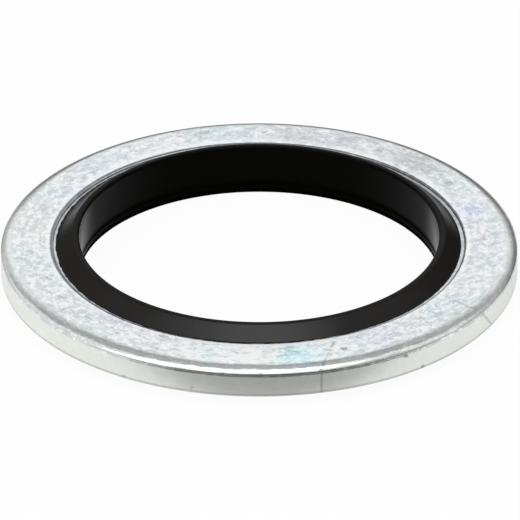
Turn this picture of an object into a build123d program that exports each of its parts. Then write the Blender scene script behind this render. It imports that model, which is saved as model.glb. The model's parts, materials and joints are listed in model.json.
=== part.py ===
from build123d import *
import os

# A bonded sealing washer: a stamped metal ring with a rubber sealing ring moulded into its bore.
# Both are rings about the Z axis. The washer lies on its lower rubber lip, which is at z = 0.
# Sizes are in millimetres and run outwards from the bore.
# Each rounded edge is a wide arc on the face that runs into a tight one, its nose, on the wall.

# Driving dimensions of the rubber seal
seal_bore = 16.7          # diameter of the rubber bore, the hole of the washer
seal_width = 1.0          # radial width of the rubber, from its bore to the metal
lip_stand = 0.5           # height of each lip above the face of the metal ring
lip_round_width = 0.18    # rounding of each lip into the bore, measured across the crest
lip_round_depth = 0.14    # the same rounding, measured down the bore
lip_nose_radius = 0.11    # tight end of the same rounding
crest_width = 0.05        # narrow flat along the crest of each lip
lip_radius = 0.18         # rounding of each lip into its flank

# Driving dimensions of the metal ring
ring_width = 2.65         # radial width of the metal
ring_thickness = 1.5      # thickness of the metal strip
rim_roll_width = 0.65     # edge that blanking rolls over at the rim, measured across the face
rim_roll_depth = 0.34     # the same edge, measured down the rim
rim_nose_radius = 0.105   # tight end of the same edge
ledge_width = 0.19        # ledge that the mould presses into the face where it shuts off by the rubber
ledge_depth = 0.1         # depth of the ledge below the face
ledge_round_width = 0.13  # rounding of the face above the ledge, measured across the face
ledge_nose_radius = 0.08  # tight end of the same rounding
foot_round_width = 0.18   # edge that tumbling rounds under the rim, measured across the underside
foot_round_depth = 0.14   # the same edge, measured up the rim
foot_nose_radius = 0.11   # tight end of the same edge
bore_break = 0.12         # bevel under the bore of the metal

# Radii from the Z axis
seal_bore_radius = seal_bore / 2
bond_radius = seal_bore_radius + seal_width
rim_radius = bond_radius + ring_width

# Heights from the middle plane of the ring, which is halfway up the strip
face_height = ring_thickness / 2
lip_height = face_height + lip_stand

# Both sections are drawn with the radius along X and the height from the middle plane along Y
section_plane = Plane(origin=(0, 0, lip_height), x_dir=(1, 0, 0), z_dir=(0, -1, 0))

# Both sections share this corner: the inner end of the metal's ledge and the foot of the rubber's flank
bond_top = Vector(bond_radius, face_height - ledge_depth)


def rounded_edge(face_end, wall_end, nose_radius):
    """Draw the rounding of an edge, from the end of a flat face to the end of a wall.

    The wide arc starts flush with the face at face_end and the nose flush with the wall at
    wall_end, and its radius is the one that lets the two meet as tangents.
    """
    across = Vector(wall_end.X - face_end.X, 0)
    down = Vector(0, wall_end.Y - face_end.Y)
    width = across.length
    depth = down.length
    wide_radius = (width**2 + depth**2 - 2 * width * nose_radius) / (2 * (depth - nose_radius))
    wide_centre = face_end + down.normalized() * wide_radius
    nose_centre = wall_end - across.normalized() * nose_radius
    meeting = nose_centre + (nose_centre - wide_centre).normalized() * nose_radius
    TangentArc(face_end, meeting, tangent=across)
    TangentArc(wall_end, meeting, tangent=-down)


# Metal ring: the rim is rolled over above and rounded below, and the bore has a ledge above and a
# bevel below
with BuildPart() as metal_ring:
    with BuildSketch(section_plane):
        with BuildLine():
            ledge_outer = bond_top + Vector(ledge_width, 0)
            top_inner = ledge_outer + Vector(ledge_round_width, ledge_depth)
            top_outer = Vector(rim_radius - rim_roll_width, face_height)
            rim_top = Vector(rim_radius, face_height - rim_roll_depth)
            rim_foot = Vector(rim_radius, foot_round_depth - face_height)
            under_outer = Vector(rim_radius - foot_round_width, -face_height)
            Line(top_inner, top_outer)
            rounded_edge(top_outer, rim_top, rim_nose_radius)
            Line(rim_top, rim_foot)
            rounded_edge(under_outer, rim_foot, foot_nose_radius)
            Polyline(
                under_outer,
                (bond_radius + bore_break, -face_height),
                (bond_radius, bore_break - face_height),
                bond_top,
                ledge_outer,
            )
            rounded_edge(top_inner, ledge_outer, ledge_nose_radius)
        make_face()
    revolve(axis=Axis.Z)

# Rubber seal: a trapezoid bonded to the bore of the ring, with a rounded lip above and below.
# The upper half is drawn and mirrored in the middle plane. Its flank rises from the ledge of the metal
# and touches the rounding of the lip.
with BuildPart() as rubber_seal:
    with BuildSketch(section_plane):
        with BuildLine():
            bore_top = Vector(seal_bore_radius, lip_height - lip_round_depth)
            crest_inner = Vector(seal_bore_radius + lip_round_width, lip_height)
            crest_outer = crest_inner + Vector(crest_width, 0)
            Line((seal_bore_radius, 0), bore_top)
            rounded_edge(crest_inner, bore_top, lip_nose_radius)
            Line(crest_inner, crest_outer)
            rounding = CenterArc(crest_outer - Vector(0, lip_radius), lip_radius, 0, 360, mode=Mode.PRIVATE)
            flank = ConstrainedLines(rounding, bond_top, selector=lambda lines: lines.sort_by(Axis.Y)[-1])
            TangentArc(crest_outer, flank @ 0, tangent=(1, 0))
            Line(bond_top, (bond_radius, 0))
            mirror(about=Plane.XZ)
        make_face()
    revolve(axis=Axis.Z)

os.makedirs("parts", exist_ok=True)
metal_ring.part.label = "metal_ring"
export_step(metal_ring.part, "parts/metal_ring.step")
rubber_seal.part.label = "rubber_seal"
export_step(rubber_seal.part, "parts/rubber_seal.step")
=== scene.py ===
"""A bonded sealing washer: a zinc plated steel ring with a black rubber seal moulded into its bore.

The ring and the seal are bodies of revolution about Z, and the washer lies on its lower rubber lip at
z = 0. Each one is a section swept round the axis by Geometry Nodes. The overall sizes come from the
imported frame, and the small roundings are settings of the add-on. Geometry is in metres, and the
patterns in the materials are in millimetres.
"""

import json
import math
from functools import reduce
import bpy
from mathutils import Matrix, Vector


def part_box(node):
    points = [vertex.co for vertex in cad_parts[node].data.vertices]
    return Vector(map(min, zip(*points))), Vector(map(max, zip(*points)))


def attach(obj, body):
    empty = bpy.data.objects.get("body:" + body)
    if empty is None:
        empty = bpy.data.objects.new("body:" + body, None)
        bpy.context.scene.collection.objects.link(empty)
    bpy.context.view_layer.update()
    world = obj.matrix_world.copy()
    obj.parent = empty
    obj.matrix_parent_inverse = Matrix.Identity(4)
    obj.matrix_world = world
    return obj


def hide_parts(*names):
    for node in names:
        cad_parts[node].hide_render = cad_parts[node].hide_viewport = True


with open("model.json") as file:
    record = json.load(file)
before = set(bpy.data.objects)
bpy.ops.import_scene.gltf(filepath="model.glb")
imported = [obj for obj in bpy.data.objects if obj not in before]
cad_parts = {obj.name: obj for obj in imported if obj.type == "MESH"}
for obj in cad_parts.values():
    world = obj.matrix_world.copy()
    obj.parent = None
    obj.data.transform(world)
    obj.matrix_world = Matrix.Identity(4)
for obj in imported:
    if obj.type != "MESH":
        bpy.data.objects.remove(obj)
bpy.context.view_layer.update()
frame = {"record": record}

from types import SimpleNamespace as Values

import bmesh
import bpy
from bpy.props import FloatProperty, FloatVectorProperty, IntProperty, PointerProperty
from mathutils import Vector

bl_info = {
    "name": "Bonded sealing washer",
    "version": (1, 0, 0),
    "blender": (4, 5, 0),
    "location": "3D View > Sidebar > Washer",
    "description": "Builds a zinc plated steel washer with a rubber seal moulded into its bore",
    "category": "Add Mesh",
}

MM = 0.001
STEPS_ROUND = 512

# Overall sizes, from the frame
RING_LOW, RING_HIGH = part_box("metal_ring")
SEAL_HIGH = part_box("rubber_seal")[1]
RIM_RADIUS = min(-RING_LOW.x, RING_HIGH.x, -RING_LOW.y, RING_HIGH.y)
BOND_RADIUS = SEAL_HIGH.x
BORE = next(m for m in frame["record"]["mounts"] if m["name"] == "bore")
BORE_RADIUS = BORE["dims"]["r_mm"] * MM
MIDDLE_HEIGHT = (RING_LOW.z + RING_HIGH.z) / 2
FACE_HEIGHT = RING_HIGH.z - MIDDLE_HEIGHT
LIP_HEIGHT = SEAL_HIGH.z - MIDDLE_HEIGHT


# ---------------- Settings ----------------

# Lengths, in millimetres, and what they are
RING_LENGTHS = {
    "rim_roll_width": (0.65, "Rolled rim, measured across the face"),
    "rim_roll_depth": (0.34, "Rolled rim, measured down the wall"),
    "rim_nose_radius": (0.105, "Tight end of the rolled rim"),
    "ledge_width": (0.19, "Ledge pressed into the face beside the rubber"),
    "ledge_depth": (0.1, "Depth of that ledge below the face"),
    "ledge_round_width": (0.13, "Rounding of the face above the ledge"),
    "ledge_nose_radius": (0.08, "Tight end of that rounding"),
    "foot_round_width": (0.18, "Rounding under the rim, across the underside"),
    "foot_round_depth": (0.14, "Rounding under the rim, up the wall"),
    "foot_nose_radius": (0.11, "Tight end of that rounding"),
    "bore_break": (0.12, "Bevel under the bore of the metal"),
    "waviness": (0.008, "How far the rolled rim wanders inwards on its way round"),
}
SEAL_LENGTHS = {
    "lip_round_width": (0.18, "Rounding of a lip into the bore, across the crest"),
    "lip_round_depth": (0.14, "Rounding of a lip into the bore, down the bore"),
    "lip_nose_radius": (0.11, "Tight end of that rounding"),
    "crest_width": (0.05, "Flat along the crest of a lip"),
    "lip_radius": (0.18, "Rounding of a lip into its flank"),
    "flash_width": (0.13, "Widest reach of the rubber flash over the ledge"),
    "flash_thickness": (0.014, "Thickness of that flash"),
}
# Linear colours, and what they are
COLOURS = {
    "zinc_roll": ((0.72, 0.75, 0.74), "Plated rolled edges, smoother than the face"),
    "zinc_wall": ((0.885, 0.903, 0.857), "Plated sheared wall of the rim"),
    # The dark colour of the burnished line under the rolled rim is painted reflection, strongest in front
    "zinc_burnish": ((0.37, 0.385, 0.36), "Dark burnished line under the rolled rim"),
    "zinc_cool": ((0.767, 0.824, 0.847), "Bluish cast of the passivated face"),
    "zinc_warm": ((0.793, 0.814, 0.834), "Lilac cast of the passivated face"),
    "scratch": ((0.18, 0.18, 0.17), "Bottom of a hairline or a speck"),
    "rubber_lip": ((0.0075, 0.0064, 0.0057), "Rubber of the lips and flanks"),
    # The darker rubber of the bore is painted shade
    "rubber_bore": ((0.0016, 0.0015, 0.0011), "Rubber of the bore"),
    "floor": ((0.92, 0.92, 0.92), "Pale floor"),
}


def label(name):
    """The name of a setting as the panel shows it."""
    return name.replace("_", " ").capitalize()


def socket_name(name):
    """The name of the node socket that a setting fills."""
    return name.replace("_", " ").title()


def length_settings(lengths):
    """Settings in metres for a table of lengths, and the count of steps round the washer."""
    common = {"min": 0.0, "precision": 6, "subtype": "DISTANCE", "unit": "LENGTH"}
    settings = {
        name: FloatProperty(name=label(name), description=description, default=length * MM, **common)
        for name, (length, description) in lengths.items()
    }
    settings["segments"] = IntProperty(
        name="Segments", description="Steps round the washer", default=STEPS_ROUND, min=64, max=720
    )
    return settings


def colour_settings(colours):
    """Settings for a table of colours."""
    common = {"size": 3, "min": 0.0, "max": 1.0, "subtype": "COLOR"}
    return {
        name: FloatVectorProperty(name=label(name), description=description, default=colour, **common)
        for name, (colour, description) in colours.items()
    }


class RingSizes(bpy.types.PropertyGroup):
    """Roundings of the metal ring."""

    __annotations__ = length_settings(RING_LENGTHS)


class SealSizes(bpy.types.PropertyGroup):
    """Roundings of the rubber seal."""

    __annotations__ = length_settings(SEAL_LENGTHS)


class WasherColours(bpy.types.PropertyGroup):
    """Colours of the finishes and of the floor."""

    __annotations__ = colour_settings(COLOURS)


# ---------------- Node trees ----------------

ORIGIN = (0.0, 0.0, 0.0)
COLOUR, FLOAT = "NodeSocketColor", "NodeSocketFloat"
VECTOR, GEOMETRY = "NodeSocketVector", "NodeSocketGeometry"
# The kind of a group's input, by the type of its default
INPUT_KINDS = {float: FLOAT, int: "NodeSocketInt", tuple: VECTOR, type(None): "NodeSocketMaterial"}


class Bench:
    """Adds nodes to one tree and links them."""

    def __init__(self, tree):
        self.tree = tree

    def feed(self, socket, value):
        """Link an output to a socket, or set the socket's own value."""
        if isinstance(value, bpy.types.NodeSocket):
            self.tree.links.new(value, socket)
        else:
            socket.default_value = value

    def add(self, kind, sockets=None, **settings):
        """Add a node, with its properties in settings and what goes into its sockets in sockets."""
        node = self.tree.nodes.new(kind)
        for name, value in settings.items():
            setattr(node, name, value)
        for socket, value in (sockets or {}).items():
            self.feed(node.inputs[socket], value)
        return node

    def group(self, tree, **sockets):
        """Add a node group; the words of a socket's name are joined by _."""
        kind = "GeometryNodeGroup" if tree.bl_idname == "GeometryNodeTree" else "ShaderNodeGroup"
        named = {name.replace("_", " "): value for name, value in sockets.items()}
        return self.add(kind, named, node_tree=tree)

    def math(self, operation, *values):
        return self.add("ShaderNodeMath", dict(enumerate(values)), operation=operation).outputs[0]

    def fold(self, operation, *values):
        """Combine any count of numbers, two at a time from the first on."""
        return reduce(lambda one, other: self.math(operation, one, other), values)

    def times(self, *values):
        return self.fold("MULTIPLY", *values)

    def plus(self, *values):
        return self.fold("ADD", *values)

    def minus(self, one, other):
        return self.math("SUBTRACT", one, other)

    def over(self, one, other):
        return self.math("DIVIDE", one, other)

    def blended_in(self, value, share, base):
        """A share of the value, added to the base."""
        return self.math("MULTIPLY_ADD", value, share, base)

    def gap(self, value, centre):
        """How far a number is from another."""
        return self.math("ABSOLUTE", self.minus(value, centre))

    def left(self, mask, share=1.0):
        """What a share of a mask leaves of 1."""
        return self.math("MULTIPLY_ADD", mask, -share, 1.0)

    def vector(self, operation, *values):
        node = self.add("ShaderNodeVectorMath", dict(enumerate(values)), operation=operation)
        return node.outputs["Vector"]

    def scale(self, vector, factor):
        node = self.add("ShaderNodeVectorMath", {0: vector, "Scale": factor}, operation="SCALE")
        return node.outputs["Vector"]

    def length(self, vector):
        return self.add("ShaderNodeVectorMath", {0: vector}, operation="LENGTH").outputs["Value"]

    def dot(self, one, other):
        node = self.add("ShaderNodeVectorMath", {0: one, 1: other}, operation="DOT_PRODUCT")
        return node.outputs["Value"]

    def point(self, x, y, z=0.0):
        return self.add("ShaderNodeCombineXYZ", {"X": x, "Y": y, "Z": z}).outputs[0]

    def split(self, vector):
        node = self.add("ShaderNodeSeparateXYZ", {0: vector})
        return node.outputs["X"], node.outputs["Y"], node.outputs["Z"]

    def near(self, value, edge, start, end):
        """Go smoothly from 0 to 1 between two places measured from an edge."""
        return self.fade(value, edge + start, edge + end)

    def fade(self, value, start, end, low=0.0, high=1.0):
        """Go smoothly from low at start to high at end."""
        sockets = {"Value": value, "From Min": start, "From Max": end, "To Min": low, "To Max": high}
        return self.add("ShaderNodeMapRange", sockets, interpolation_type="SMOOTHSTEP").outputs[0]

    def mix(self, factor, one, other):
        """Mix two numbers."""
        sockets = {0: factor, 2: one, 3: other}
        return self.add("ShaderNodeMix", sockets, data_type="FLOAT").outputs[0]

    def blend(self, factor, one, other, how="MIX"):
        """Mix two colours."""
        sockets = {0: factor, 6: one, 7: other}
        return self.add("ShaderNodeMix", sockets, data_type="RGBA", blend_type=how).outputs[2]

    def noise(self, position, scale, detail=2.0, roughness=0.5, distortion=0.0):
        """A noise in space; returns its number and its colour."""
        sockets = {"Scale": scale, "Detail": detail, "Roughness": roughness, "Distortion": distortion}
        outputs = self.add("ShaderNodeTexNoise", {"Vector": position, **sockets}).outputs
        return outputs[0], outputs[1]


def new_group(name, kind, inputs, outputs):
    """Make a node group from the defaults of its inputs and the kinds of its outputs.

    Returns it, its bench, its inputs, and a function that fills its outputs.
    """
    tree = bpy.data.node_groups.new(name, kind)
    for input_name, default in inputs.items():
        kind_of_input = INPUT_KINDS[type(default)]
        socket = tree.interface.new_socket(input_name, in_out="INPUT", socket_type=kind_of_input)
        if default is not None:
            socket.default_value = default
    for output_name, kind_of_output in outputs.items():
        tree.interface.new_socket(output_name, in_out="OUTPUT", socket_type=kind_of_output)
    bench = Bench(tree)
    given = bench.add("NodeGroupInput").outputs
    result = bench.add("NodeGroupOutput")

    def give(**values):
        for output_name, value in values.items():
            bench.feed(result.inputs[output_name], value)

    return tree, bench, given, give


# ---------------- Sections and sweeps ----------------
# A section is drawn with the radius along X and the height from the middle of the ring along Y.

# Points along the arcs and the straight runs
POINTS = Values(arc=10, lip=12, face=25, wall=9, ledge=4, bore=5, flank=8)
SHARP_ANGLE = math.radians(25)   # a corner above this angle is shaded sharp
WELD_DISTANCE = 0.0005 * MM
UPSIDE_DOWN = (1.0, -1.0, 1.0)   # scale that mirrors a section in the middle plane
WAVINESS_SCALE = 0.45 / MM       # waves of the rolled rim, for each metre

# The flash: the side where it is widest, the share of its width that it keeps on the other side, the
# radius of the circle on which its tears are drawn, the range of their noise with the share of the
# flash that is left at either end, and what counts as flash beyond the bond
FLASH = Values(side=(-0.8, -0.6, 0.0), least=0.15, circle=9.4, tears=(0.3, 0.7, 0.55, 1.0), slack=0.001 * MM)
TEARS = {"scale": 2.2, "detail": 3.0, "roughness": 0.6}


def rounded_edge_group():
    """A wide arc, flush with a face, that runs as a tangent into a tight one, flush with a wall."""
    inputs = {
        "Face End": ORIGIN,
        "Wall End": ORIGIN,
        "Nose Radius": 0.1 * MM,
        "Steps": POINTS.arc,
    }
    tree, n, given, give = new_group("Rounded edge", "GeometryNodeTree", inputs, {"Curve": GEOMETRY})
    face_end, wall_end, nose = given["Face End"], given["Wall End"], given["Nose Radius"]
    reach_x, reach_y, _ = n.split(n.vector("SUBTRACT", wall_end, face_end))
    width, depth = n.math("ABSOLUTE", reach_x), n.math("ABSOLUTE", reach_y)
    across = n.point(n.math("SIGN", reach_x), 0.0)
    down = n.point(0.0, n.math("SIGN", reach_y))

    # The radius of the wide arc lets the two arcs meet as tangents
    squares = n.plus(n.times(width, width), n.times(depth, depth))
    wide = n.over(n.minus(squares, n.times(2.0, width, nose)), n.times(2.0, n.minus(depth, nose)))
    wide_centre = n.vector("ADD", face_end, n.scale(down, wide))
    nose_centre = n.vector("SUBTRACT", wall_end, n.scale(across, nose))
    outward = n.vector("NORMALIZE", n.vector("SUBTRACT", nose_centre, wide_centre))
    meeting = n.vector("ADD", nose_centre, n.scale(outward, nose))

    def arc(start, end, centre, radius):
        halfway = n.scale(n.vector("ADD", start, end), 0.5)
        bulge = n.vector("NORMALIZE", n.vector("SUBTRACT", halfway, centre))
        middle = n.vector("ADD", centre, n.scale(bulge, radius))
        sockets = {"Resolution": given["Steps"], "Start": start, "Middle": middle, "End": end}
        return n.add("GeometryNodeCurveArc", sockets, mode="POINTS").outputs["Curve"]

    wide_arc = arc(face_end, meeting, wide_centre, wide)
    nose_arc = arc(meeting, wall_end, nose_centre, nose)
    give(Curve=joined(n, wide_arc, nose_arc))
    return tree


def straight(n, start, end, points=2):
    """A straight run of the section, divided so that the rounding beside it shades only its ends."""
    line = n.add("GeometryNodeCurvePrimitiveLine", {"Start": start, "End": end}).outputs["Curve"]
    if points == 2:
        return line
    return n.add("GeometryNodeResampleCurve", {"Curve": line, "Count": points}).outputs["Curve"]


def outline(n, *corners):
    """Straight runs from corner to corner."""
    return [straight(n, start, end) for start, end in zip(corners, corners[1:])]


def joined(n, *parts):
    """Join geometry."""
    node = n.add("GeometryNodeJoinGeometry")
    for part in parts:
        n.feed(node.inputs[0], part)
    return node.outputs[0]


def moved(n, geometry, translation=ORIGIN, scale=(1.0, 1.0, 1.0)):
    """Scale geometry and then move it."""
    sockets = {"Geometry": geometry, "Translation": translation, "Scale": scale}
    return n.add("GeometryNodeTransform", sockets).outputs[0]


def swept(n, section, path_radius, segments, middle_height):
    """Sweep a section once round the axis and weld its strips."""
    # The sweep draws a section's Y downwards, measured from the path
    profile = moved(n, section, n.point(n.times(path_radius, -1.0), 0.0), UPSIDE_DOWN)
    circle = n.add("GeometryNodeCurvePrimitiveCircle", {"Radius": path_radius, "Resolution": segments})
    sweep = n.add("GeometryNodeCurveToMesh", {"Curve": circle.outputs["Curve"], "Profile Curve": profile})
    lifted = moved(n, sweep.outputs["Mesh"], n.point(0.0, 0.0, middle_height))
    return n.add("GeometryNodeMergeByDistance", {"Geometry": lifted, "Distance": WELD_DISTANCE}).outputs[0]


def finished(n, geometry, material):
    """Shade the roundings smooth, keep the sharp corners, and give the finish."""
    smooth = n.add("GeometryNodeSetShadeSmooth", {"Geometry": geometry}, domain="FACE").outputs[0]
    angle = n.add("GeometryNodeInputMeshEdgeAngle").outputs["Unsigned Angle"]
    corners = {
        "Geometry": smooth,
        "Selection": n.math("GREATER_THAN", angle, SHARP_ANGLE),
        "Shade Smooth": False,
    }
    creased = n.add("GeometryNodeSetShadeSmooth", corners, domain="EDGE").outputs[0]
    real = n.add("GeometryNodeRealizeInstances", {"Geometry": creased}).outputs[0]
    return n.add("GeometryNodeSetMaterial", {"Geometry": real, "Material": material}).outputs[0]


def sweep_inputs(*lengths):
    """Inputs of a swept piece: its lengths, its steps round the axis and its finish."""
    inputs = dict.fromkeys(("Middle Height", *lengths), MM)
    return inputs | {"Segments": STEPS_ROUND, "Material": None}


def ring_tree(rounded_edge):
    """The metal ring: rolled over at the rim, with a ledge at the bore above and a bevel below."""
    inputs = sweep_inputs("Rim Radius", "Bond Radius", "Face Height", *map(socket_name, RING_LENGTHS))
    tree, n, given, give = new_group("Metal ring", "GeometryNodeTree", inputs, {"Geometry": GEOMETRY})
    rim, bond, face = given["Rim Radius"], given["Bond Radius"], given["Face Height"]
    under = n.times(face, -1.0)
    ledge_height = n.minus(face, given["Ledge Depth"])
    ledge_end = n.plus(bond, given["Ledge Width"])
    roll_start = n.minus(rim, given["Rim Roll Width"])
    foot_end = n.minus(rim, given["Foot Round Width"])

    bond_top = n.point(bond, ledge_height)
    ledge_outer = n.point(ledge_end, ledge_height)
    top_inner = n.point(n.plus(ledge_end, given["Ledge Round Width"]), face)
    top_outer = n.point(roll_start, face)
    rim_top = n.point(rim, n.minus(face, given["Rim Roll Depth"]))
    rim_foot = n.point(rim, n.plus(under, given["Foot Round Depth"]))
    under_outer = n.point(foot_end, under)
    under_inner = n.point(n.plus(bond, given["Bore Break"]), under)
    bore_foot = n.point(bond, n.plus(under, given["Bore Break"]))

    def edge(face_end, wall_end, nose):
        group = n.group(rounded_edge, Face_End=face_end, Wall_End=wall_end, Nose_Radius=nose)
        return group.outputs["Curve"]

    section = joined(
        n,
        straight(n, top_inner, top_outer, POINTS.face),
        edge(top_outer, rim_top, given["Rim Nose Radius"]),
        straight(n, rim_top, rim_foot, POINTS.wall),
        edge(under_outer, rim_foot, given["Foot Nose Radius"]),
        straight(n, under_outer, under_inner, POINTS.wall),
        *outline(n, under_inner, bore_foot, bond_top),
        straight(n, bond_top, ledge_outer, POINTS.ledge),
        edge(top_inner, ledge_outer, given["Ledge Nose Radius"]),
    )
    ring = swept(n, section, bond, given["Segments"], given["Middle Height"])

    # The blanked rim isn't perfectly even, so its roll wanders a little inwards and down
    position = n.add("GeometryNodeInputPosition").outputs[0]
    x, y, z = n.split(position)
    radius = n.length(n.point(x, y))
    above_middle = n.math("GREATER_THAN", z, given["Middle Height"])
    on_roll = n.times(n.fade(radius, roll_start, foot_end), above_middle)
    wander, _ = n.noise(position, WAVINESS_SCALE)
    amount = n.times(wander, on_roll, given["Waviness"])
    inwards = n.vector("NORMALIZE", n.scale(n.point(x, y, radius), -1.0))
    worn = n.add("GeometryNodeSetPosition", {"Geometry": ring, "Offset": n.scale(inwards, amount)})
    give(Geometry=finished(n, worn.outputs[0], given["Material"]))
    return tree


SEAL_INPUTS = ("Bore Radius", "Bond Radius", "Lip Height", "Bond Height", *map(socket_name, SEAL_LENGTHS))


def seal_half_group(rounded_edge):
    """Half the section of the seal: bore, lip, flank, and the flash that lies on the ledge."""
    inputs = dict.fromkeys(SEAL_INPUTS, MM)
    tree, n, given, give = new_group("Half of the seal", "GeometryNodeTree", inputs, {"Curve": GEOMETRY})
    bore, bond, lip = given["Bore Radius"], given["Bond Radius"], given["Lip Height"]
    bond_height = given["Bond Height"]
    crest_start = n.plus(bore, given["Lip Round Width"])
    crest_end = n.plus(crest_start, given["Crest Width"])
    bore_top = n.point(bore, n.minus(lip, given["Lip Round Depth"]))
    crest_inner = n.point(crest_start, lip)
    crest_outer = n.point(crest_end, lip)

    # The flank runs from the top of the flash and touches the rounding of the lip
    foot = n.point(bond, n.plus(bond_height, given["Flash Thickness"]))
    centre = n.point(crest_end, n.minus(lip, given["Lip Radius"]))
    away = n.vector("SUBTRACT", foot, centre)
    away_x, away_y, _ = n.split(away)
    opening = n.math("ARCCOSINE", n.over(given["Lip Radius"], n.length(away)))
    touch_angle = n.plus(n.math("ARCTAN2", away_y, away_x), opening)
    half_angle = n.times(n.plus(touch_angle, math.radians(90)), 0.5)

    def on_lip(angle):
        spoke = n.point(n.math("COSINE", angle), n.math("SINE", angle))
        return n.vector("ADD", centre, n.scale(spoke, given["Lip Radius"]))

    touch = on_lip(touch_angle)
    arc = {"Resolution": POINTS.lip, "Start": crest_outer, "Middle": on_lip(half_angle), "End": touch}
    lip_arc = n.add("GeometryNodeCurveArc", arc, mode="POINTS").outputs["Curve"]
    nose = given["Lip Nose Radius"]
    lip_edge = n.group(rounded_edge, Face_End=crest_inner, Wall_End=bore_top, Nose_Radius=nose)

    # The flash tapers to half its thickness at its outer end
    flash_end = n.plus(bond, given["Flash Width"])
    flash_top = n.point(flash_end, n.blended_in(given["Flash Thickness"], 0.5, bond_height))
    flash_foot = n.point(flash_end, bond_height)
    bond_top = n.point(bond, bond_height)
    half = joined(
        n,
        straight(n, n.point(bore, 0.0), bore_top, POINTS.bore),
        lip_edge.outputs["Curve"],
        straight(n, crest_inner, crest_outer),
        lip_arc,
        straight(n, touch, foot, POINTS.flank),
        *outline(n, foot, flash_top, flash_foot, bond_top, n.point(bond, 0.0)),
    )
    give(Curve=half)
    return tree


def seal_tree(rounded_edge):
    """The rubber seal: two mirrored halves, and flash of uneven width over the ledge of the ring."""
    inputs = sweep_inputs(*SEAL_INPUTS)
    tree, n, given, give = new_group("Rubber seal", "GeometryNodeTree", inputs, {"Geometry": GEOMETRY})
    half_tree = seal_half_group(rounded_edge)

    def half(changed):
        sockets = {name: given[name] for name in SEAL_INPUTS} | changed
        return n.add("GeometryNodeGroup", sockets, node_tree=half_tree).outputs["Curve"]

    lower = moved(n, half({"Flash Width": 0.0, "Flash Thickness": 0.0}), scale=UPSIDE_DOWN)
    section = joined(n, half({}), lower)
    seal = swept(n, section, given["Bond Radius"], given["Segments"], given["Middle Height"])

    # The seal sits a little off centre, so the flash is wide on one side and dies out on the other,
    # and it breaks off unevenly
    position = n.add("GeometryNodeInputPosition").outputs[0]
    x, y, _ = n.split(position)
    flat = n.point(x, y)
    reach = n.minus(n.length(flat), given["Bond Radius"])
    outwards = n.vector("NORMALIZE", flat)
    side = n.blended_in(n.dot(outwards, FLASH.side), 0.5, 0.5)
    tears, _ = n.noise(n.scale(outwards, FLASH.circle), **TEARS)
    kept = n.times(n.fade(tears, *FLASH.tears), n.blended_in(side, 1.0 - FLASH.least, FLASH.least))
    sockets = {
        "Geometry": seal,
        "Selection": n.math("GREATER_THAN", reach, FLASH.slack),
        "Offset": n.scale(outwards, n.times(reach, n.minus(kept, 1.0))),
    }
    torn = n.add("GeometryNodeSetPosition", sockets).outputs[0]
    give(Geometry=finished(n, torn, given["Material"]))
    return tree


def grown(name, tree, sockets):
    """Run a geometry tree once and keep what it makes as a plain, closed mesh with its faces outwards."""
    piece = bpy.data.objects.new(name, bpy.data.meshes.new(name))
    bpy.context.scene.collection.objects.link(piece)
    modifier = piece.modifiers.new("Section", "NODES")
    modifier.node_group = tree
    for socket in tree.interface.items_tree:
        if socket.in_out == "INPUT":
            modifier[socket.identifier] = sockets[socket.name]
    evaluated = piece.evaluated_get(bpy.context.evaluated_depsgraph_get())
    mesh = bpy.data.meshes.new_from_object(evaluated)
    piece.modifiers.remove(modifier)
    empty = piece.data
    piece.data = mesh
    bpy.data.meshes.remove(empty)
    mesh.name = name

    shell = bmesh.new()
    shell.from_mesh(mesh)
    bmesh.ops.recalc_face_normals(shell, faces=shell.faces)
    if any(len(edge.link_faces) != 2 for edge in shell.edges):
        raise RuntimeError(f"{name} isn't closed")
    if shell.calc_volume(signed=True) <= 0:
        raise RuntimeError(f"{name} is inside out")
    shell.to_mesh(mesh)
    shell.free()
    return piece


def settings_as_sockets(settings):
    """A property group's values under the names of the sockets that they fill."""
    return {socket_name(name): getattr(settings, name) for name in settings.__annotations__}


# ---------------- Finishes ----------------
# Positions, radii and heights in the materials are in millimetres.

UNROLLED_RADIUS = 7.0       # less than the real radius, so that patterns are longer round the ring

# Flecks: the noise at which light and dark ones start, how much of it a soft and a sharp edge take up,
# a shift that keeps the dark ones apart from the light ones, and the roughness of the noise
FLECK = Values(light=0.56, dark=0.44, edges=(0.16, 0.05), shift=(31.7, 5.3, 12.9), roughness=0.55)


def place_group():
    """Where a point of the surface is, in millimetres.

    Unrolled runs round the washer in X and Y and across its section in Z, so that a pattern on it follows
    the ring without a seam.
    """
    outputs = {"Position": VECTOR, "Radius": FLOAT, "Height": FLOAT, "Unrolled": VECTOR}
    tree, n, _, give = new_group("Place on the washer", "ShaderNodeTree", {}, outputs)
    position = n.scale(n.add("ShaderNodeTexCoord").outputs["Object"], 1.0 / MM)
    x, y, z = n.split(position)
    flat = n.point(x, y)
    radius = n.length(flat)
    around_x, around_y, _ = n.split(n.scale(n.vector("NORMALIZE", flat), UNROLLED_RADIUS))
    unrolled = n.point(around_x, around_y, n.minus(radius, z))
    give(Position=position, Radius=radius, Height=z, Unrolled=unrolled)
    return tree


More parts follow.
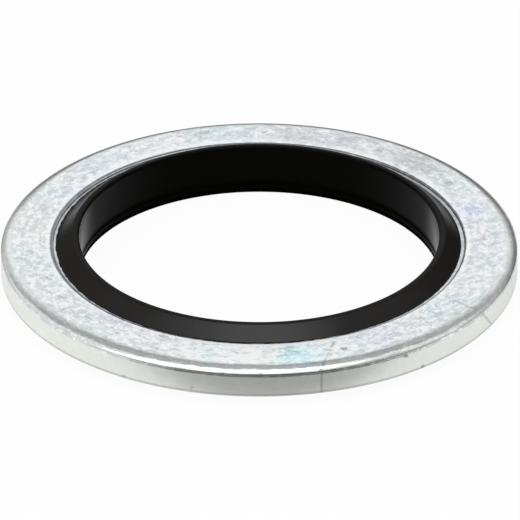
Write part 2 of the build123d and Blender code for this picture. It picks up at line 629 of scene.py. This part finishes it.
def grain_group():
    """Fine grain of a surface: its tone about zero, light and dark flecks, and its relief."""
    inputs = {"Position": ORIGIN, "Size": 0.25, "Sharpness": 0.5, "Swirl": 0.7}
    outputs = {"Tone": FLOAT, "Light": FLOAT, "Dark": FLOAT, "Relief": FLOAT, "Tint": COLOUR}
    tree, n, given, give = new_group("Surface grain", "ShaderNodeTree", inputs, outputs)
    edge = n.mix(given["Sharpness"], *FLECK.edges)
    texture = (n.over(1.0, given["Size"]), 2.0, FLECK.roughness, given["Swirl"])
    main, tint = n.noise(given["Position"], *texture)
    other, _ = n.noise(n.vector("ADD", given["Position"], FLECK.shift), *texture)
    light = n.fade(main, FLECK.light, n.plus(FLECK.light, edge))
    dark = n.fade(other, FLECK.dark, n.minus(FLECK.dark, edge))
    give(Tone=n.minus(main, 0.5), Light=light, Dark=dark, Relief=other, Tint=tint)
    return tree


def hairline_group():
    """Mask of a thin straight mark between two points of the surface."""
    inputs = {"Position": ORIGIN, "Start": ORIGIN, "End": (1.0, 0.0, 0.0), "Width": 0.06}
    tree, n, given, give = new_group("Hairline", "ShaderNodeTree", inputs, {"Mask": FLOAT})
    run = n.vector("SUBTRACT", given["End"], given["Start"])
    off = n.vector("SUBTRACT", given["Position"], given["Start"])
    along = n.over(n.dot(off, run), n.dot(run, run))
    held = n.math("MINIMUM", n.math("MAXIMUM", along, 0.0), 1.0)
    gap = n.length(n.vector("SUBTRACT", off, n.scale(run, held)))
    give(Mask=n.fade(gap, given["Width"], 0.0))
    return tree


def spot_group():
    """Mask of a soft round spot."""
    inputs = {"Position": ORIGIN, "Centre": ORIGIN, "Size": 1.0, "Softness": 0.5}
    tree, n, given, give = new_group("Spot", "ShaderNodeTree", inputs, {"Mask": FLOAT})
    gap = n.length(n.vector("SUBTRACT", given["Position"], given["Centre"]))
    share = n.over(gap, given["Size"])
    give(Mask=n.fade(share, 1.0, n.minus(1.0, given["Softness"])))
    return tree


def shaken(n, position, scale, reach):
    """Move positions about by a noise, so that round masks on them get uneven edges."""
    _, noise = n.noise(position, scale, detail=3.0)
    return n.vector("ADD", position, n.scale(n.vector("SUBTRACT", noise, (0.5, 0.5, 0.5)), reach))


def rgba(colour):
    return (*colour, 1.0)


def toned(n, colour, tone):
    """A colour made lighter or darker."""
    return n.blend(1.0, colour, n.point(tone, tone, tone), how="MULTIPLY")


def new_material(name):
    """An empty material; returns it and its bench."""
    material = bpy.data.materials.new(name)
    material.use_nodes = True
    material.node_tree.nodes.clear()
    return material, Bench(material.node_tree)


def new_finish(name):
    """A material with only its output and a Principled shader; returns it, its bench and the shader."""
    material, n = new_material(name)
    shader = n.add("ShaderNodeBsdfPrincipled")
    output = n.add("ShaderNodeOutputMaterial")
    n.feed(output.inputs["Surface"], shader.outputs["BSDF"])
    return material, n, shader


def bumped(n, shader, height):
    """Give a finish its relief, with heights in millimetres."""
    bump = n.add("ShaderNodeBump", {"Strength": 1.0, "Distance": MM, "Height": height})
    n.feed(shader.inputs["Normal"], bump.outputs["Normal"])


# Marks on the zinc, in millimetres: the ends, width and strength of hairlines
SCRATCHES = (
    ((3.45, -9.4, 2.0), (2.85, -11.7, 1.9), 0.12, 0.4),
    ((2.85, -11.66, 1.66), (2.85, -11.66, 0.5), 0.12, 0.4),
    ((8.6, -5.18, 2.0), (9.69, -6.21, 2.0), 0.08, 0.4),
    ((9.69, -6.21, 2.0), (10.28, -6.19, 1.66), 0.08, 0.45),
    ((10.28, -6.19, 1.66), (10.69, -5.45, 0.7), 0.10, 0.4),
    ((10.65, -0.34, 2.0), (11.5, 0.13, 2.0), 0.08, 0.25),
    ((-2.72, 11.2, 2.0), (-2.8, 9.9, 2.0), 0.08, 0.2),
)
# The centre, size and strength of specks
SPECKS = (
    ((3.87, -10.1, 2.0), 0.24, 0.6),
    ((6.70, -9.955, 1.548), 0.13, 0.75),
    ((7.49, -9.375, 0.642), 0.14, 0.55),
    ((8.88, 5.68, 2.0), 0.30, 0.4),
    ((-6.2, -10.27, 0.61), 0.16, 0.3),
    ((-3.09, -11.6, 0.81), 0.13, 0.25),
    ((2.85, -11.63, 1.74), 0.13, 0.6),
    ((0.11, -11.97, 1.74), 0.14, 0.55),
    ((-1.62, -11.86, 1.74), 0.12, 0.45),
)
# Places where the plate is lighter, darker or tinted: their centre, size, colour and strength. The first two
# are painted light across the front and painted shade across the back.
TINTS_AND_PAINTED_LIGHT = (
    ((0.0, -11.5, 2.0), 6.5, (0.95, 1.0, 1.0), 0.85),
    ((2.5, 11.5, 2.0), 6.5, (0.64, 0.67, 0.68), 0.65),
    ((7.2, 7.6, 2.0), 2.6, (0.54, 0.57, 0.58), 0.6),
    ((1.9, -10.7, 2.0), 1.8, (0.64, 0.88, 1.0), 0.85),
    ((-2.4, -10.3, 2.0), 1.3, (0.72, 0.89, 0.91), 0.45),
    ((-4.5, -9.4, 2.0), 1.7, (0.82, 0.77, 0.79), 0.5),
    ((-6.6, -7.3, 2.0), 1.6, (0.74, 0.76, 0.86), 0.55),
    ((5.4, -8.9, 2.0), 1.6, (0.77, 0.80, 0.90), 0.55),
    ((8.3, -6.4, 2.0), 1.6, (0.69, 0.81, 0.87), 0.55),
    ((9.8, 2.9, 2.0), 1.3, (0.70, 0.76, 0.97), 0.7),
    ((11.0, -0.2, 2.0), 1.3, (0.80, 0.76, 0.86), 0.5),
    ((4.0, 10.0, 2.0), 1.9, (0.71, 0.71, 0.78), 0.5),
    ((-1.5, 10.4, 2.0), 2.4, (0.68, 0.78, 0.83), 0.5),
    ((-7.6, 7.6, 2.0), 1.7, (0.71, 0.79, 0.88), 0.5),
    ((-8.9, 4.4, 2.0), 1.4, (0.71, 0.78, 0.90), 0.5),
    ((-10.9, 1.6, 2.0), 2.1, (0.79, 0.775, 0.77), 0.5),
    ((9.6, -7.1, 1.8), 1.4, (0.66, 0.76, 0.67), 0.6),
    ((0.3, -11.6, 1.9), 0.9, (0.70, 0.80, 0.72), 0.6),
    ((8.88, 5.68, 2.0), 0.14, (0.9, 0.9, 0.9), 0.9),
)


# Patterns of the zinc
FLECKS = {"Size": 0.3, "Sharpness": 0.55, "Swirl": 0.5}
CLOUDS = {"scale": 0.9, "detail": 3.0, "roughness": 0.6}
STREAKS = {"scale": 1.6, "detail": 3.0}
SPARKS = {"scale": 5.6, "detail": 1.0, "distortion": 0.6}
CAST = {"scale": 0.45}

# Strengths of those patterns. A turn goes between two values of a noise, "clouds" gives the share of a
# spark in thin and thick cloud, and a pair of strengths holds towards the back and in front.
# Sparks and light flecks are painted glints on the plate; they and the dark flecks are stronger in front.
TO_FRONT = (-4.0, -9.0)
CAST_TURN = (0.4, 0.6)
SPARK = Values(
    shift=(3.1, 17.0, 5.0), turn=(0.565, 0.62), strengths=(0.3, 0.44), clouds=(0.42, 0.58, 0.6, 1.15)
)
PATTERN = Values(light=0.08, darks=(-0.12, -0.2), lift=0.015, cloud=0.4, mottle=0.85, tint=0.24)

# Zones of the zinc. A fade is where a mask starts and where it is full, measured from the edge or the
# middle that it belongs to, "uneven" is how far a noise shifts it, and "plain" is the share of the
# patterns that the zone lacks. Four numbers are two places and the levels at them.
RIM_FADE = (-0.25, -0.12)
ROLL = Values(fade=(-0.05, 0.2), upper=(-0.05, 0.05), uneven=0.6, plain=0.6, rough=0.15, relief=0.024)
WALL = Values(fade=(-0.075, -0.125), plain=0.92, rough=0.4)
# The burnished line is smoother than the wall, and its dark colour is painted reflection; reach fades it
# towards the left and right.
BURNISH_AND_REFLECTION = Values(fade=(0.135, 0.08), uneven=0.08, side=1.0, reach=(4.0, 9.0, 1.0, 0.12), rough=0.22)
FACE = Values(rough=0.28, cloudy_rough=0.12, relief=0.01)
# The bright band beside the ledge is partly painted highlight, wider and stronger in front.
INNER_BAND = Values(start=0.1, ends=(0.28, 0.6), depths=(2.0, 9.0), strengths=(0.16, 0.24))
OUTER_BAND = Values(middle=-0.12, fade=(0.2, 0.05), strength=0.04)
# Painted shade: the crease, the ledge (most at the back), the roll at the back, the shoulder of the roll in
# front and the foot of the wall are darkened.
CREASE_SHADE = Values(middle=0.07, fade=(0.1, 0.03), heights=(-0.2, -0.15), strength=0.75)
LEDGE_SHADE = Values(fade=(0.02, -0.03), dusk=(0.5, 5.0, 0.34, 0.56))
BACK_ROLL_SHADE = Values(fade=(-0.05, 0.3), depths=(1.0, 7.0), strength=0.6)
SHOULDER_SHADE = Values(middle=0.18, fade=(0.2, 0.05), dusk=(-2.0, -8.0, 0.0, 0.13))
FOOT_SHADE = Values(fade=(0.09, 0.0), strength=0.3)
MOULD_SHIFT = 0.05   # how far the marks of the mould sit off the centre of the ring

# Edges of the tints and of the marks: how soft they are, and the scale and reach of what shakes them
TINT = Values(softness=0.8, shake=(0.5, 1.6))
MARK = Values(softness=0.6, shake=(5.0, 0.3), relief=-0.01)


def zinc_place(n, place):
    """Where a point of the ring is, and where the edges of the ring are, in millimetres."""
    sizes = bpy.context.scene.washer_ring
    where = n.group(place)
    at = Values(**{name.lower(): where.outputs[name] for name in where.outputs.keys()})
    at.side, at.depth, _ = n.split(at.position)
    at.rim = RIM_RADIUS / MM
    at.face = RING_HIGH.z / MM
    at.roll_start = at.rim - sizes.rim_roll_width / MM
    at.wall_top = at.face - sizes.rim_roll_depth / MM
    at.foot_top = (RING_LOW.z + sizes.foot_round_depth) / MM
    at.ledge_end = (BOND_RADIUS + sizes.ledge_width) / MM
    at.face_start = at.ledge_end + sizes.ledge_round_width / MM
    return at


def zinc_zones(n, at, cloud, streaks):
    """Masks of the roll, the rim, the wall and the burnished line with its painted dark reflection, and
    where patterns are plain to see.
    """
    # The roll starts unevenly; below it come a burnished line, smoother and darkened with painted
    # reflection, and the sheared wall
    uneven = n.blended_in(n.minus(cloud, 0.5), ROLL.uneven, at.radius)
    upper = n.near(at.height, at.wall_top, *ROLL.upper)
    rolled = n.times(n.near(uneven, at.roll_start, *ROLL.fade), upper)
    rim = n.near(at.radius, at.rim, *RIM_FADE)
    wall = n.times(n.near(at.height, at.wall_top, *WALL.fade), rim)
    ragged = n.blended_in(n.minus(streaks, 0.5), BURNISH_AND_REFLECTION.uneven, at.height)
    # Painted reflection: the dark line fades towards the left and right
    reach = n.fade(n.gap(at.side, BURNISH_AND_REFLECTION.side), *BURNISH_AND_REFLECTION.reach)
    line = n.times(n.near(ragged, at.wall_top, *BURNISH_AND_REFLECTION.fade), rim, reach)
    plain = n.times(n.left(rolled, ROLL.plain), n.left(wall, WALL.plain))
    return Values(rolled=rolled, rim=rim, wall=wall, burnish=n.times(line, n.left(wall)), plain=plain)


def zinc_tone(n, at, zones, flecks, cloud):
    """How light the plate is: patterns with painted glints, bright bands beside its edges with some painted
    highlight, and painted shade.
    """
    # The mould sits a little off the centre of the ring, and the marks that it leaves with it
    flat = n.vector("MULTIPLY", at.position, (1.0, 1.0, 0.0))
    outward_x, _, _ = n.split(n.vector("NORMALIZE", flat))
    mould_radius = n.blended_in(outward_x, MOULD_SHIFT, at.radius)

    # Narrow bright bands run beside the ledge and just inside the roll; the one beside the ledge is partly
    # painted highlight, wider and stronger in front
    near_end, far_end = (at.face_start + end for end in INNER_BAND.ends)
    band_end = n.fade(at.depth, *INNER_BAND.depths, near_end, far_end)
    band = n.fade(mould_radius, band_end, at.face_start + INNER_BAND.start)
    inner_band = n.times(band, n.fade(at.depth, *INNER_BAND.depths, *INNER_BAND.strengths))
    outer_gap = n.gap(at.radius, at.roll_start + OUTER_BAND.middle)
    outer_band = n.times(n.fade(outer_gap, *OUTER_BAND.fade), OUTER_BAND.strength)

    # The patterns: cloud and grain of the plate, with sparks and light flecks as painted glints, stronger in
    # front
    spark, _ = n.noise(n.vector("ADD", at.unrolled, SPARK.shift), **SPARKS)
    spark_strength = n.fade(at.depth, *TO_FRONT, *SPARK.strengths)
    painted_glints = n.times(n.fade(spark, *SPARK.turn), spark_strength, n.fade(cloud, *SPARK.clouds))
    light = n.blended_in(flecks["Light"], PATTERN.light, painted_glints)
    dark_strength = n.fade(at.depth, *TO_FRONT, *PATTERN.darks)
    dark = n.blended_in(flecks["Dark"], dark_strength, PATTERN.lift)
    drift = n.times(n.minus(cloud, 0.5), PATTERN.cloud)
    mottle = n.blended_in(flecks["Tone"], PATTERN.mottle, drift)
    patterns = n.plus(light, dark, mottle, n.plus(inner_band, outer_band))

    # Painted shade: a dark crease on the step, the ledge below it, the roll at the back, the shoulder of the
    # roll in front, and the foot of the wall
    on_top = n.near(at.height, at.face, *CREASE_SHADE.heights)
    crease_shade = n.times(n.fade(n.gap(mould_radius, at.ledge_end + CREASE_SHADE.middle), *CREASE_SHADE.fade), on_top)
    # Painted shade on the ledge, darkest at the back
    ledge = n.times(n.near(mould_radius, at.ledge_end, *LEDGE_SHADE.fade), n.fade(at.depth, *LEDGE_SHADE.dusk))
    # Painted shade on the roll, towards the back
    back_roll_shade = n.times(n.near(at.radius, at.roll_start, *BACK_ROLL_SHADE.fade), n.fade(at.depth, *BACK_ROLL_SHADE.depths))
    # Painted shade on the shoulder of the roll, towards the front
    shoulder_shade = n.fade(n.gap(at.radius, at.roll_start + SHOULDER_SHADE.middle), *SHOULDER_SHADE.fade)
    shoulder_shade = n.times(shoulder_shade, n.fade(at.depth, *SHOULDER_SHADE.dusk))
    # Painted shade at the foot of the wall
    foot = n.times(n.near(at.height, at.foot_top, *FOOT_SHADE.fade), zones.rim)
    return n.times(
        n.blended_in(patterns, zones.plain, 1.0),
        n.left(crease_shade, CREASE_SHADE.strength),
        n.left(ledge),
        n.left(back_roll_shade, BACK_ROLL_SHADE.strength),
        n.left(shoulder_shade),
        n.left(foot, FOOT_SHADE.strength),
    )


def zinc_colour(n, at, zones, flecks, colours, spot):
    """Colour of the plate before its tone: the cast, the tints with painted light and shade, and the zones
    with the painted dark reflection under the roll.
    """
    cast, _ = n.noise(at.unrolled, **CAST)
    colour = n.blend(n.fade(cast, *CAST_TURN), rgba(colours.zinc_cool), rgba(colours.zinc_warm))
    colour = n.blend(zones.rolled, colour, rgba(colours.zinc_roll))
    colour = n.blend(n.times(zones.plain, PATTERN.tint), colour, flecks["Tint"], how="OVERLAY")
    drifting = shaken(n, at.position, *TINT.shake)
    for centre, size, tint, amount in TINTS_AND_PAINTED_LIGHT:
        mask = n.group(spot, Position=drifting, Centre=centre, Size=size, Softness=TINT.softness)
        share = n.times(mask.outputs["Mask"], n.times(zones.plain, amount))
        colour = n.blend(share, colour, rgba(tint))
    colour = n.blend(zones.wall, colour, rgba(colours.zinc_wall))
    return n.blend(zones.burnish, colour, rgba(colours.zinc_burnish))


def zinc_marks(n, at, groups):
    """Mask of the scratches and specks."""
    marks = []
    for start, end, width, amount in SCRATCHES:
        mask = n.group(groups.hairline, Position=at.position, Start=start, End=end, Width=width)
        marks.append(n.times(mask.outputs["Mask"], amount))
    frayed = shaken(n, at.position, *MARK.shake)
    for centre, size, amount in SPECKS:
        mask = n.group(groups.spot, Position=frayed, Centre=centre, Size=size, Softness=MARK.softness)
        marks.append(n.times(mask.outputs["Mask"], amount))
    return n.fold("MAXIMUM", *marks)


def zinc_material(colours, groups):
    """Bright zinc plate: cloudy and flecked on the faces, smooth on the roll, duller on the wall."""
    material, n, shader = new_finish("Zinc plate")
    at = zinc_place(n, groups.place)
    flecks = n.group(groups.grain, Position=at.unrolled, **FLECKS).outputs
    cloud, _ = n.noise(at.unrolled, **CLOUDS)
    streaks, _ = n.noise(at.unrolled, **STREAKS)
    zones = zinc_zones(n, at, cloud, streaks)
    marks = zinc_marks(n, at, groups)
    colour = zinc_colour(n, at, zones, flecks, colours, groups.spot)
    colour = toned(n, colour, zinc_tone(n, at, zones, flecks, cloud))
    n.feed(shader.inputs["Base Color"], n.blend(marks, colour, rgba(colours.scratch)))
    shader.inputs["Metallic"].default_value = 1.0

    rough = n.mix(zones.rolled, n.blended_in(cloud, FACE.cloudy_rough, FACE.rough), ROLL.rough)
    rough = n.mix(zones.burnish, rough, BURNISH_AND_REFLECTION.rough)
    n.feed(shader.inputs["Roughness"], n.mix(zones.wall, rough, WALL.rough))

    relief = n.times(flecks["Relief"], n.times(zones.plain, FACE.relief))
    rippled = n.times(streaks, n.times(zones.rolled, ROLL.relief))
    bumped(n, shader, n.blended_in(marks, MARK.relief, n.plus(relief, rippled)))
    return material


# Rubber. Its gloss is a sum of fades between two angles, as values of Facing, and the levels at them.
RUBBER_SPECKS = {"Size": 0.18, "Sharpness": 0.3, "Swirl": 0.3}
RUBBER_PATCHES = {"scale": 0.8, "detail": 3.0}
RUBBER = Values(tone=0.75, patches=0.5, specks=0.35, rough=0.6, relief=0.003)
FLANK_FADE = (0.04, 0.2)   # outwards from the bore
FLANK_GLOSSES = ((0.1, 0.6, 0.4, 0.15), (0.64, 0.8, 0.0, 0.55), (0.05, 0.12, 0.3, 0.0))
BORE_GLOSSES = ((0.2, 0.62, 0.05, 0.22), (0.62, 0.88, 0.0, 0.78))
COAT = Values(rough=0.22, ior=1.5)
# The bore is glossy above these heights, and on a faint line over the lower lip
GLOSS_HEIGHTS = (0.5, 0.85)
LOWER_LINE = Values(height=0.38, fade=(0.15, 0.04, 0.0, 0.5))


def rubber_material(colours, groups):
    """Black moulded rubber: satin on the lips and flanks, smoother in the bore, where it is darkened as
    painted shade.
    """
    material, n, shader = new_finish("Moulded rubber")
    where = n.group(groups.place)
    radius, height, unrolled = (where.outputs[name] for name in ("Radius", "Height", "Unrolled"))
    flank = n.near(radius, BORE_RADIUS / MM, *FLANK_FADE)
    specks = n.group(groups.grain, Position=unrolled, **RUBBER_SPECKS).outputs
    patchy, _ = n.noise(unrolled, **RUBBER_PATCHES)
    # The bore is darkened as painted shade
    colour = n.blend(flank, rgba(colours.rubber_bore), rgba(colours.rubber_lip))
    tone = n.blended_in(patchy, RUBBER.patches, RUBBER.tone)
    tone = n.blended_in(specks["Light"], RUBBER.specks, tone)
    n.feed(shader.inputs["Base Color"], toned(n, colour, tone))
    shader.inputs["Roughness"].default_value = RUBBER.rough
    shader.inputs["Specular IOR Level"].default_value = 0.0

    # The gloss is a coat: even on the flank, and in the bore stronger at a low angle and faint over
    # the lower lip
    facing = n.add("ShaderNodeLayerWeight", {"Blend": 0.5}).outputs["Facing"]
    flank_gloss = n.plus(*(n.fade(facing, *gloss) for gloss in FLANK_GLOSSES))
    line = n.fade(n.gap(height, LOWER_LINE.height), *LOWER_LINE.fade)
    above = n.math("MAXIMUM", n.fade(height, *GLOSS_HEIGHTS), line)
    bore_gloss = n.plus(*(n.fade(facing, *gloss) for gloss in BORE_GLOSSES))
    n.feed(shader.inputs["Coat Weight"], n.mix(flank, n.times(bore_gloss, above), flank_gloss))
    shader.inputs["Coat Roughness"].default_value = COAT.rough
    shader.inputs["Coat IOR"].default_value = COAT.ior
    bumped(n, shader, n.times(specks["Relief"], RUBBER.relief))
    return material


# ---------------- Stage ----------------

FRAME_PIXELS = 520          # width and height of the picture
PIXELS_PER_MM = 21.54       # scale of the picture at the axis of the washer
VIEW_ELEVATION = math.radians(29.04)
VIEW_DISTANCE = 0.6
SENSOR_WIDTH = 36.0
AXIS_PIXEL = (258.63, 256.1)   # where the point below is in the picture
AXIS_POINT = Vector((0.0, 0.0, 1.22 * MM))

FLOOR_SIZE = 6.0
FLOOR_DROP = 0.005 * MM     # keeps the floor just clear of the lip that lies on it
FLOOR_WHITENESS = 0.94      # share of the floor that the camera sees as plain white
FLOOR_GLOSS = 0.3           # the same share in reflections

# Where the floor has painted shade in reflections, and how dark it is: in front and behind, in millimetres
FLOOR_DUSKS = ((-11.4, -13.8, 0.37), (12.5, 15.0, 0.4))
FLOOR_WAY = (-0.04, 1.0, 0.0)   # the way over the floor that those are measured along
WHITE = (1.0, 1.0, 1.0, 1.0)

# Soft boxes: their name, two corners in plan and their height, in metres, and how bright they look
SOFTBOXES = (
    ("overhead softbox", (-1.16, -0.68), (0.42, -0.084), 0.8, 1.1),
    ("front softbox", (-0.16, -0.35), (0.21, -0.2), 0.7, 0.35),
)

# Studio walls. A way is a direction, and a turn is where the level changes along a way or an axis.
# The horizon is the foot of the back wall, from left to right; the right wall has a darker foot.
HORIZON = Values(turn=(-0.3, 0.0), levels=(0.6, 0.33), tops=(0.31, 0.53), foot=0.06, back_turn=(0.3, 0.75))
PANEL = Values(way=(0.0, 0.9135, 0.4067), turn=(0.76, 0.97), white_turn=(0.75, 1.0))
BACK_WALL = Values(way=(0.0, 0.68, 0.733), turn=(0.68, 0.73), level=0.49)
SIDE_WALLS = Values(turn=(-0.2, 0.2), level=0.95)
RIGHT_FOOT = Values(turn=(0.45, 0.65), level=0.6)
DARK_ROOM = Values(way=(0.1, -0.99, 0.1), turn=(0.70, 0.93), level=0.12)


def seen_white(n):
    """Masks of the rays that see a backdrop: those of the camera, and those of gloss or transmission."""
    path = n.add("ShaderNodeLightPath").outputs
    gloss = n.math("MAXIMUM", path["Is Glossy Ray"], path["Is Transmission Ray"])
    return path["Is Camera Ray"], gloss


def mixed(n, factor, one, other):
    """Mix two shaders."""
    sockets = {0: factor, 1: one.outputs[0], 2: other.outputs[0]}
    return n.add("ShaderNodeMixShader", sockets)


def floor_material(colours):
    """Pale matt floor that is white where it is seen, keeps its shadow, has painted shade in reflections in
    front and behind, and is clear from beneath.
    """
    material, n = new_material("Pale floor")
    matt = n.add("ShaderNodeBsdfDiffuse", {"Color": rgba(colours.floor)})
    white = n.add("ShaderNodeEmission", {"Color": WHITE, "Strength": 1.0})
    camera, gloss = seen_white(n)
    share = n.math("MAXIMUM", n.times(camera, FLOOR_WHITENESS), n.times(gloss, FLOOR_GLOSS))
    seen = mixed(n, share, matt, white)
    y = n.dot(n.add("ShaderNodeTexCoord").outputs["Object"], FLOOR_WAY)
    for start, end, level in FLOOR_DUSKS:
        dark = n.add("ShaderNodeEmission", {"Color": WHITE, "Strength": level})
        seen = mixed(n, n.times(gloss, n.fade(y, start * MM, end * MM)), seen, dark)
    beneath = n.add("ShaderNodeNewGeometry").outputs["Backfacing"]
    surface = mixed(n, beneath, seen, n.add("ShaderNodeBsdfTransparent"))
    output = n.add("ShaderNodeOutputMaterial")
    n.feed(output.inputs["Surface"], surface.outputs[0])
    return material


def add_floor(colours):
    """A large square just below the lower lip."""
    half = FLOOR_SIZE / 2
    mesh = bpy.data.meshes.new("floor")
    corners = [(x * half, y * half, -FLOOR_DROP) for x, y in ((-1, -1), (1, -1), (1, 1), (-1, 1))]
    mesh.from_pydata(corners, [], [(0, 1, 2, 3)])
    mesh.materials.append(floor_material(colours))
    floor = bpy.data.objects.new("floor", mesh)
    bpy.context.scene.collection.objects.link(floor)


def add_softbox(name, corner_low, corner_high, height, level):
    """A soft box that faces down, between two corners in plan."""
    width = corner_high[0] - corner_low[0]
    depth = corner_high[1] - corner_low[1]
    lamp = bpy.data.lights.new(name, "AREA")
    lamp.shape = "RECTANGLE"
    lamp.size = width
    lamp.size_y = depth
    lamp.energy = level * math.pi * width * depth
    box = bpy.data.objects.new(name, lamp)
    box.location = ((corner_low[0] + corner_high[0]) / 2, (corner_low[1] + corner_high[1]) / 2, height)
    box.visible_camera = False
    bpy.context.scene.collection.objects.link(box)


def add_studio_walls():
    """The world: a round white panel behind the washer, pale walls, and a dark room by the camera."""
    world = bpy.data.worlds.new("Studio")
    bpy.context.scene.world = world
    world.use_nodes = True
    world.node_tree.nodes.clear()
    n = Bench(world.node_tree)
    ray = n.add("ShaderNodeTexCoord").outputs["Generated"]
    x, y, z = n.split(ray)
    horizon = n.fade(x, *HORIZON.turn, *HORIZON.levels)
    horizon_top = n.fade(x, *HORIZON.turn, *HORIZON.tops)
    foot = n.fade(z, HORIZON.foot, horizon_top, horizon, 1.0)
    low = n.mix(n.fade(y, *HORIZON.back_turn), 1.0, foot)
    panel = n.fade(n.dot(ray, PANEL.way), *PANEL.turn)
    back = n.mix(panel, BACK_WALL.level, 1.0)
    right = n.mix(n.fade(z, *RIGHT_FOOT.turn), RIGHT_FOOT.level, SIDE_WALLS.level)
    sides = n.mix(n.fade(x, *SIDE_WALLS.turn), SIDE_WALLS.level, right)
    sides = n.mix(n.fade(n.dot(ray, DARK_ROOM.way), *DARK_ROOM.turn), sides, DARK_ROOM.level)
    behind = n.fade(n.dot(ray, BACK_WALL.way), *BACK_WALL.turn)
    walls = n.times(n.mix(behind, sides, back), low)
    camera, gloss = seen_white(n)
    bright = n.fade(n.times(panel, low), *PANEL.white_turn)
    level = n.mix(n.math("MAXIMUM", camera, n.times(gloss, bright)), walls, 1.0)
    background = n.add("ShaderNodeBackground", {"Color": WHITE, "Strength": level})
    output = n.add("ShaderNodeOutputWorld")
    n.feed(output.inputs["Surface"], background.outputs[0])


def add_camera():
    """The camera looks along +Y and down at the washer."""
    data = bpy.data.cameras.new("camera")
    data.sensor_width = SENSOR_WIDTH
    data.lens = PIXELS_PER_MM / MM * VIEW_DISTANCE * SENSOR_WIDTH / FRAME_PIXELS
    data.clip_start = 0.01
    data.clip_end = 20.0
    forward = Vector((0.0, math.cos(VIEW_ELEVATION), -math.sin(VIEW_ELEVATION)))
    right = Vector((1.0, 0.0, 0.0))
    up = right.cross(forward)
    middle = (FRAME_PIXELS - 1) / 2
    aim = AXIS_POINT + right * ((middle - AXIS_PIXEL[0]) / PIXELS_PER_MM * MM)
    aim += up * ((AXIS_PIXEL[1] - middle) / PIXELS_PER_MM * MM)
    camera = bpy.data.objects.new("camera", data)
    camera.location = aim - forward * VIEW_DISTANCE
    camera.rotation_mode = "QUATERNION"
    camera.rotation_quaternion = forward.to_track_quat("-Z", "Y")
    bpy.context.scene.collection.objects.link(camera)
    bpy.context.scene.camera = camera


# ---------------- Operators, panel and registration ----------------


def shared_groups():
    """The node groups that the pieces share, made once."""

    def once(name, make):
        return bpy.data.node_groups.get(name) or make()

    return Values(
        place=once("Place on the washer", place_group),
        grain=once("Surface grain", grain_group),
        hairline=once("Hairline", hairline_group),
        spot=once("Spot", spot_group),
        rounded_edge=once("Rounded edge", rounded_edge_group),
    )


class WASHER_OT_metal_ring(bpy.types.Operator):
    """Build the zinc plated metal ring in place of its plain solid"""

    bl_idname = "washer.metal_ring"
    bl_label = "Build metal ring"

    def execute(self, context):
        scene = context.scene
        groups = shared_groups()
        sockets = settings_as_sockets(scene.washer_ring) | {
            "Rim Radius": RIM_RADIUS,
            "Bond Radius": BOND_RADIUS,
            "Face Height": FACE_HEIGHT,
            "Middle Height": MIDDLE_HEIGHT,
            "Material": zinc_material(scene.washer_colours, groups),
        }
        piece = grown("plated_ring", ring_tree(groups.rounded_edge), sockets)
        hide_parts("metal_ring")
        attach(piece, "root")
        return {"FINISHED"}


class WASHER_OT_rubber_seal(bpy.types.Operator):
    """Build the moulded rubber seal in place of its plain solid"""

    bl_idname = "washer.rubber_seal"
    bl_label = "Build rubber seal"

    def execute(self, context):
        scene = context.scene
        groups = shared_groups()
        sockets = settings_as_sockets(scene.washer_seal) | {
            "Bore Radius": BORE_RADIUS,
            "Bond Radius": BOND_RADIUS,
            "Lip Height": LIP_HEIGHT,
            "Bond Height": FACE_HEIGHT - scene.washer_ring.ledge_depth,
            "Middle Height": MIDDLE_HEIGHT,
            "Material": rubber_material(scene.washer_colours, groups),
        }
        piece = grown("moulded_seal", seal_tree(groups.rounded_edge), sockets)
        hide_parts("rubber_seal")
        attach(piece, "root")
        return {"FINISHED"}


class WASHER_OT_stage(bpy.types.Operator):
    """Build the pale floor, the studio light and the camera"""

    bl_idname = "washer.stage"
    bl_label = "Build stage"

    def execute(self, context):
        add_floor(context.scene.washer_colours)
        add_studio_walls()
        for softbox in SOFTBOXES:
            add_softbox(*softbox)
        add_camera()
        context.scene.view_settings.view_transform = "Standard"
        return {"FINISHED"}


class WASHER_PT_panel(bpy.types.Panel):
    """Settings and builders of the washer"""

    bl_idname = "WASHER_PT_panel"
    bl_label = "Bonded sealing washer"
    bl_space_type = "VIEW_3D"
    bl_region_type = "UI"
    bl_category = "Washer"

    def draw(self, context):
        scene = context.scene
        for settings in (scene.washer_ring, scene.washer_seal, scene.washer_colours):
            column = self.layout.column(align=True)
            for name in settings.__annotations__:
                column.prop(settings, name)
        for operator in OPERATORS:
            self.layout.operator(operator.bl_idname)


OPERATORS = (WASHER_OT_metal_ring, WASHER_OT_rubber_seal, WASHER_OT_stage)
SETTINGS = {"washer_ring": RingSizes, "washer_seal": SealSizes, "washer_colours": WasherColours}


def register():
    for kind in (*SETTINGS.values(), *OPERATORS, WASHER_PT_panel):
        bpy.utils.register_class(kind)
    for name, kind in SETTINGS.items():
        setattr(bpy.types.Scene, name, PointerProperty(type=kind))


def unregister():
    for name in SETTINGS:
        delattr(bpy.types.Scene, name)
    for kind in reversed((*SETTINGS.values(), *OPERATORS, WASHER_PT_panel)):
        bpy.utils.unregister_class(kind)


def main():
    """Build the washer and its stage."""
    register()
    bpy.ops.washer.metal_ring()
    bpy.ops.washer.rubber_seal()
    bpy.ops.washer.stage()
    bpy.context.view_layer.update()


if __name__ == "__main__":
    main()
